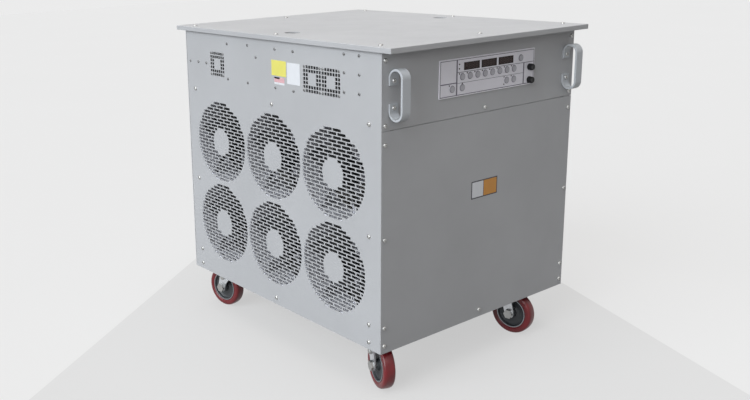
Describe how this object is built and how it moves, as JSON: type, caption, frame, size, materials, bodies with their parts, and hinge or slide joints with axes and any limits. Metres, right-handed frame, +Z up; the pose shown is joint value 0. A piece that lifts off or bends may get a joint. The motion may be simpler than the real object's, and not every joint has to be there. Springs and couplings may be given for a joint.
{
  "type": "generator load bank",
  "caption": "Portable resistive load bank: grey sheet-steel cabinet on four swivel casters, six slotted fan intakes on the side, operator panel and strap handles in front.",
  "frame": {"origin": "on the floor under the centre of the whole outline", "axes": "+X to the right of someone facing the operator panel, +Y from the operator panel towards the rear, +Z up"},
  "size_m": [0.76, 0.944, 0.9088],
  "materials": {
    "cabinet_paint": "light grey powder coat, satin",
    "frame_paint": "grey powder coat, matte",
    "bright_screws": "bright zinc",
    "handle_metal": "satin",
    "zinc_fork": "zinc plated",
    "wheel_iron": "dark painted",
    "red_tread": "moulded polyurethane, satin",
    "fan_black": "black paint",
    "fan_plastic": "moulded",
    "module_face": "printed film, satin",
    "dark_window": "tinted",
    "key_grey": "moulded",
    "fuse_black": "moulded",
    "element_steel": "heat-tinted",
    "galvanised": "galvanised",
    "switch_black": "moulded",
    "socket_black": "moulded"
  },
  "bodies": {
    "cabinet": {"panel_screws": "bright_screws", "intake_side_panel": "cabinet_paint", "exhaust_side_panel": "cabinet_paint", "front_lower_panel": "cabinet_paint", "front_control_panel": "cabinet_paint", "rear_panel": "cabinet_paint", "top_cover": "cabinet_paint", "base_frame": "frame_paint", "frame_uprights": "frame_paint", "control_shelf": "galvanised", "carry_handles": "handle_metal", "caster_plates": "zinc_fork", "fan_frames": "fan_black", "cooling_fan_frames": "fan_plastic", "control_module": "module_face", "display_windows": "dark_window", "resistor_rods": "element_steel", "element_racks": "galvanised", "contactors": "switch_black", "load_terminals": "socket_black"},
    "fork_front_left": {"caster_fork_front_left": "zinc_fork", "caster_axle_front_left": "bright_screws"},
    "wheel_front_left": {"wheel_hub_front_left": "wheel_iron", "wheel_tread_front_left": "red_tread"},
    "fork_front_right": {"caster_fork_front_right": "zinc_fork", "caster_axle_front_right": "bright_screws"},
    "wheel_front_right": {"wheel_hub_front_right": "wheel_iron", "wheel_tread_front_right": "red_tread"},
    "fork_rear_left": {"caster_fork_rear_left": "zinc_fork", "caster_axle_rear_left": "bright_screws"},
    "wheel_rear_left": {"wheel_hub_rear_left": "wheel_iron", "wheel_tread_rear_left": "red_tread"},
    "fork_rear_right": {"caster_fork_rear_right": "zinc_fork", "caster_axle_rear_right": "bright_screws"},
    "wheel_rear_right": {"wheel_hub_rear_right": "wheel_iron", "wheel_tread_rear_right": "red_tread"},
    "fan_lower_front": {"fan_impeller_lower_front": "fan_plastic"},
    "fan_lower_middle": {"fan_impeller_lower_middle": "fan_plastic"},
    "fan_lower_rear": {"fan_impeller_lower_rear": "fan_plastic"},
    "fan_upper_front": {"fan_impeller_upper_front": "fan_plastic"},
    "fan_upper_middle": {"fan_impeller_upper_middle": "fan_plastic"},
    "fan_upper_rear": {"fan_impeller_upper_rear": "fan_plastic"},
    "cooling_fan_1": {"cooling_fan_impeller_1": "fan_plastic"},
    "cooling_fan_2": {"cooling_fan_impeller_2": "fan_plastic"},
    "cooling_fan_3": {"cooling_fan_impeller_3": "fan_plastic"},
    "key_load_button_1": {"load_button_1": "key_grey"},
    "key_load_button_2": {"load_button_2": "key_grey"},
    "key_load_button_3": {"load_button_3": "key_grey"},
    "key_load_button_4": {"load_button_4": "key_grey"},
    "key_load_button_5": {"load_button_5": "key_grey"},
    "key_load_button_6": {"load_button_6": "key_grey"},
    "key_load_button_7": {"load_button_7": "key_grey"},
    "key_load_button_8": {"load_button_8": "key_grey"},
    "key_master_button": {"master_button": "key_grey"},
    "key_run_button": {"run_button": "key_grey"},
    "key_stop_button": {"stop_button": "key_grey"},
    "key_power_button": {"power_button": "key_grey"},
    "key_display_button": {"display_button": "key_grey"},
    "holder_fuse_cap_1": {"fuse_cap_1": "fuse_black"},
    "holder_fuse_cap_2": {"fuse_cap_2": "fuse_black"}
  },
  "joints": [
    {"name": "swivel_front_left", "type": "hinge", "parent": "cabinet", "child": "fork_front_left", "pos_m": [-0.297, -0.331, 0], "axis": [0, 0, 1], "continuous": true},
    {"name": "roll_front_left", "type": "hinge", "parent": "fork_front_left", "child": "wheel_front_left", "pos_m": [-0.31123, -0.36623, 0.0635], "axis": [0.9272, -0.3746, 0], "continuous": true},
    {"name": "swivel_front_right", "type": "hinge", "parent": "cabinet", "child": "fork_front_right", "pos_m": [0.22, -0.331, 0], "axis": [0, 0, 1], "continuous": true},
    {"name": "roll_front_right", "type": "hinge", "parent": "fork_front_right", "child": "wheel_front_right", "pos_m": [0.22595, -0.36853, 0.0635], "axis": [0.9877, 0.1564, 0], "continuous": true},
    {"name": "swivel_rear_left", "type": "hinge", "parent": "cabinet", "child": "fork_rear_left", "pos_m": [-0.297, 0.324, 0], "axis": [0, 0, 1], "continuous": true},
    {"name": "roll_rear_left", "type": "hinge", "parent": "fork_rear_left", "child": "wheel_rear_left", "pos_m": [-0.3036, 0.36142, 0.0635], "axis": [-0.9848, -0.1736, 0], "continuous": true},
    {"name": "swivel_rear_right", "type": "hinge", "parent": "cabinet", "child": "fork_rear_right", "pos_m": [0.22, 0.324, 0], "axis": [0, 0, 1], "continuous": true},
    {"name": "roll_rear_right", "type": "hinge", "parent": "fork_rear_right", "child": "wheel_rear_right", "pos_m": [0.25571, 0.337, 0.0635], "axis": [-0.342, 0.9397, 0], "continuous": true},
    {"name": "spin_fan_lower_front", "type": "hinge", "parent": "cabinet", "child": "fan_lower_front", "pos_m": [-0.37, -0.2473, 0.3141], "axis": [1, 0, 0], "continuous": true},
    {"name": "spin_fan_lower_middle", "type": "hinge", "parent": "cabinet", "child": "fan_lower_middle", "pos_m": [-0.37, 0.0067, 0.3141], "axis": [1, 0, 0], "continuous": true},
    {"name": "spin_fan_lower_rear", "type": "hinge", "parent": "cabinet", "child": "fan_lower_rear", "pos_m": [-0.37, 0.2607, 0.3141], "axis": [1, 0, 0], "continuous": true},
    {"name": "spin_fan_upper_front", "type": "hinge", "parent": "cabinet", "child": "fan_upper_front", "pos_m": [-0.37, -0.2473, 0.5681], "axis": [1, 0, 0], "continuous": true},
    {"name": "spin_fan_upper_middle", "type": "hinge", "parent": "cabinet", "child": "fan_upper_middle", "pos_m": [-0.37, 0.0067, 0.5681], "axis": [1, 0, 0], "continuous": true},
    {"name": "spin_fan_upper_rear", "type": "hinge", "parent": "cabinet", "child": "fan_upper_rear", "pos_m": [-0.37, 0.2607, 0.5681], "axis": [1, 0, 0], "continuous": true},
    {"name": "spin_cooling_fan_1", "type": "hinge", "parent": "cabinet", "child": "cooling_fan_1", "pos_m": [-0.37, -0.244, 0.802], "axis": [1, 0, 0], "continuous": true},
    {"name": "spin_cooling_fan_2", "type": "hinge", "parent": "cabinet", "child": "cooling_fan_2", "pos_m": [-0.37, -0.17, 0.802], "axis": [1, 0, 0], "continuous": true},
    {"name": "spin_cooling_fan_3", "type": "hinge", "parent": "cabinet", "child": "cooling_fan_3", "pos_m": [-0.37, 0.266, 0.802], "axis": [1, 0, 0], "continuous": true},
    {"name": "press_load_button_1", "type": "slide", "parent": "cabinet", "child": "key_load_button_1", "axis": [0, 1, 0], "range_m": [0, 0.001], "stiffness_N_per_m": 400, "springref_m": -0.0005},
    {"name": "press_load_button_2", "type": "slide", "parent": "cabinet", "child": "key_load_button_2", "axis": [0, 1, 0], "range_m": [0, 0.001], "stiffness_N_per_m": 400, "springref_m": -0.0005},
    {"name": "press_load_button_3", "type": "slide", "parent": "cabinet", "child": "key_load_button_3", "axis": [0, 1, 0], "range_m": [0, 0.001], "stiffness_N_per_m": 400, "springref_m": -0.0005},
    {"name": "press_load_button_4", "type": "slide", "parent": "cabinet", "child": "key_load_button_4", "axis": [0, 1, 0], "range_m": [0, 0.001], "stiffness_N_per_m": 400, "springref_m": -0.0005},
    {"name": "press_load_button_5", "type": "slide", "parent": "cabinet", "child": "key_load_button_5", "axis": [0, 1, 0], "range_m": [0, 0.001], "stiffness_N_per_m": 400, "springref_m": -0.0005},
    {"name": "press_load_button_6", "type": "slide", "parent": "cabinet", "child": "key_load_button_6", "axis": [0, 1, 0], "range_m": [0, 0.001], "stiffness_N_per_m": 400, "springref_m": -0.0005},
    {"name": "press_load_button_7", "type": "slide", "parent": "cabinet", "child": "key_load_button_7", "axis": [0, 1, 0], "range_m": [0, 0.001], "stiffness_N_per_m": 400, "springref_m": -0.0005},
    {"name": "press_load_button_8", "type": "slide", "parent": "cabinet", "child": "key_load_button_8", "axis": [0, 1, 0], "range_m": [0, 0.001], "stiffness_N_per_m": 400, "springref_m": -0.0005},
    {"name": "press_master_button", "type": "slide", "parent": "cabinet", "child": "key_master_button", "axis": [0, 1, 0], "range_m": [0, 0.001], "stiffness_N_per_m": 400, "springref_m": -0.0005},
    {"name": "press_run_button", "type": "slide", "parent": "cabinet", "child": "key_run_button", "axis": [0, 1, 0], "range_m": [0, 0.001], "stiffness_N_per_m": 400, "springref_m": -0.0005},
    {"name": "press_stop_button", "type": "slide", "parent": "cabinet", "child": "key_stop_button", "axis": [0, 1, 0], "range_m": [0, 0.001], "stiffness_N_per_m": 400, "springref_m": -0.0005},
    {"name": "press_power_button", "type": "slide", "parent": "cabinet", "child": "key_power_button", "axis": [0, 1, 0], "range_m": [0, 0.001], "stiffness_N_per_m": 400, "springref_m": -0.0005},
    {"name": "press_display_button", "type": "slide", "parent": "cabinet", "child": "key_display_button", "axis": [0, 1, 0], "range_m": [0, 0.001], "stiffness_N_per_m": 400, "springref_m": -0.0005},
    {"name": "turn_fuse_cap_1", "type": "hinge", "parent": "cabinet", "child": "holder_fuse_cap_1", "pos_m": [0.173, -0.426, 0.804], "axis": [0, -1, 0], "range_deg": [0, 60]},
    {"name": "turn_fuse_cap_2", "type": "hinge", "parent": "cabinet", "child": "holder_fuse_cap_2", "pos_m": [0.173, -0.426, 0.769], "axis": [0, -1, 0], "range_deg": [0, 60]}
  ]
}
